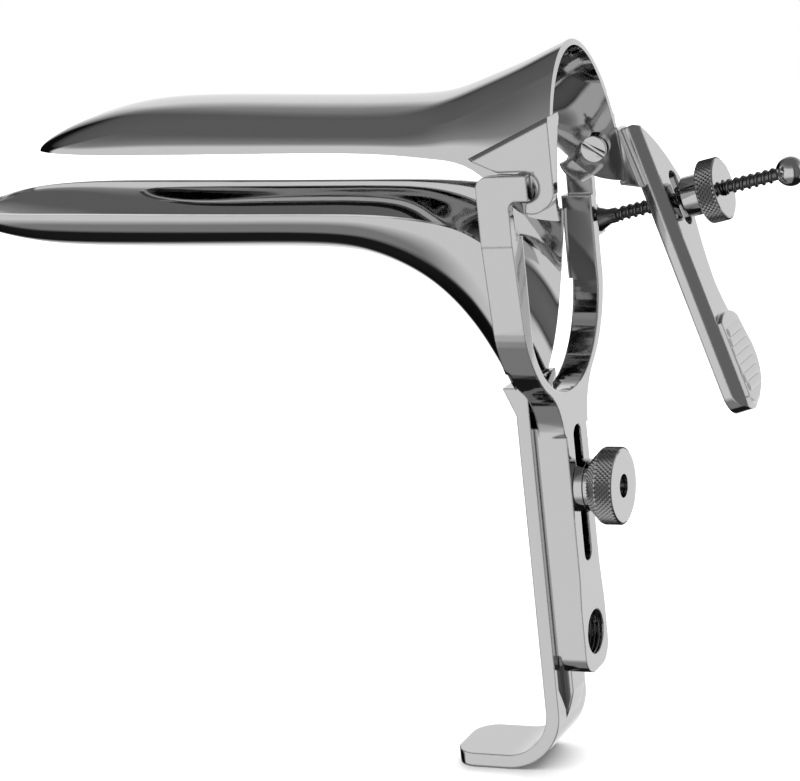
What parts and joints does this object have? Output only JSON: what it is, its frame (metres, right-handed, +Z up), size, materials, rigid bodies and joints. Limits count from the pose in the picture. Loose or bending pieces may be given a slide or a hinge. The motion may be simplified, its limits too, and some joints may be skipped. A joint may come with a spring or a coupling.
{
  "type": "bivalve speculum",
  "caption": "Two hinged trough-shaped blades on a slotted yoke and curved handle, opened by a thumb lever with a screw stop and locked in height by a knurled knob.",
  "frame": {"origin": "middle of the handle's bar, where it is held, on the middle plane of the blades", "axes": "+X towards the open mouth and the user, +Y to the thumb lever's side along the hinge, +Z up along the handle"},
  "size_m": [0.1781, 0.0607, 0.1517],
  "materials": {
    "polished_steel": "mirror-polished stainless steel"
  },
  "bodies": {
    "lower": {"lower_blade": "polished_steel", "handle": "polished_steel", "lock_stud": "polished_steel"},
    "yoke": {"yoke": "polished_steel", "rod_lug": "polished_steel", "adjusting_rod": "polished_steel", "rod_ball": "polished_steel", "pivot_screw": "polished_steel"},
    "upper": {"upper_blade": "polished_steel", "near_hook_ear": "polished_steel", "far_hinge_ear": "polished_steel", "thumb_lever": "polished_steel"},
    "stop_collar": {"nut_collar": "polished_steel"},
    "stop_wheel": {"nut_wheel": "polished_steel"},
    "washer": {"lock_washer": "polished_steel"},
    "knob": {"lock_knob": "polished_steel"}
  },
  "joints": [
    {"name": "height_slide", "type": "slide", "parent": "lower", "child": "yoke", "axis": [0, 0, 1], "range_m": [-0.01, 0.013]},
    {"name": "blade_tilt", "type": "hinge", "parent": "yoke", "child": "upper", "pos_m": [0.01082, 0, 0.0856], "axis": [0, 1, 0], "range_deg": [0, 30]},
    {"name": "nut_travel", "type": "slide", "parent": "yoke", "child": "stop_collar", "axis": [0.9781, 0, 0.2079], "range_m": [0, 0.011]},
    {"name": "nut_spin", "type": "hinge", "parent": "stop_collar", "child": "stop_wheel", "pos_m": [0.01254, 0.0294, 0.06987], "axis": [0.9781, 0, 0.2079], "range_deg": [0, 2470]},
    {"name": "lock_travel", "type": "slide", "parent": "lower", "child": "washer", "axis": [1, 0, 0], "range_m": [0, 0.002]},
    {"name": "lock_spin", "type": "hinge", "parent": "washer", "child": "knob", "pos_m": [0.00932, 0, 0.0191], "axis": [1, 0, 0], "range_deg": [0, 1020]}
  ],
  "couplings": [
    {"joint": "nut_travel", "follows": "nut_spin", "m_per_rad": 0.0002546},
    {"joint": "lock_travel", "follows": "lock_spin", "m_per_rad": 0.0001114}
  ]
}
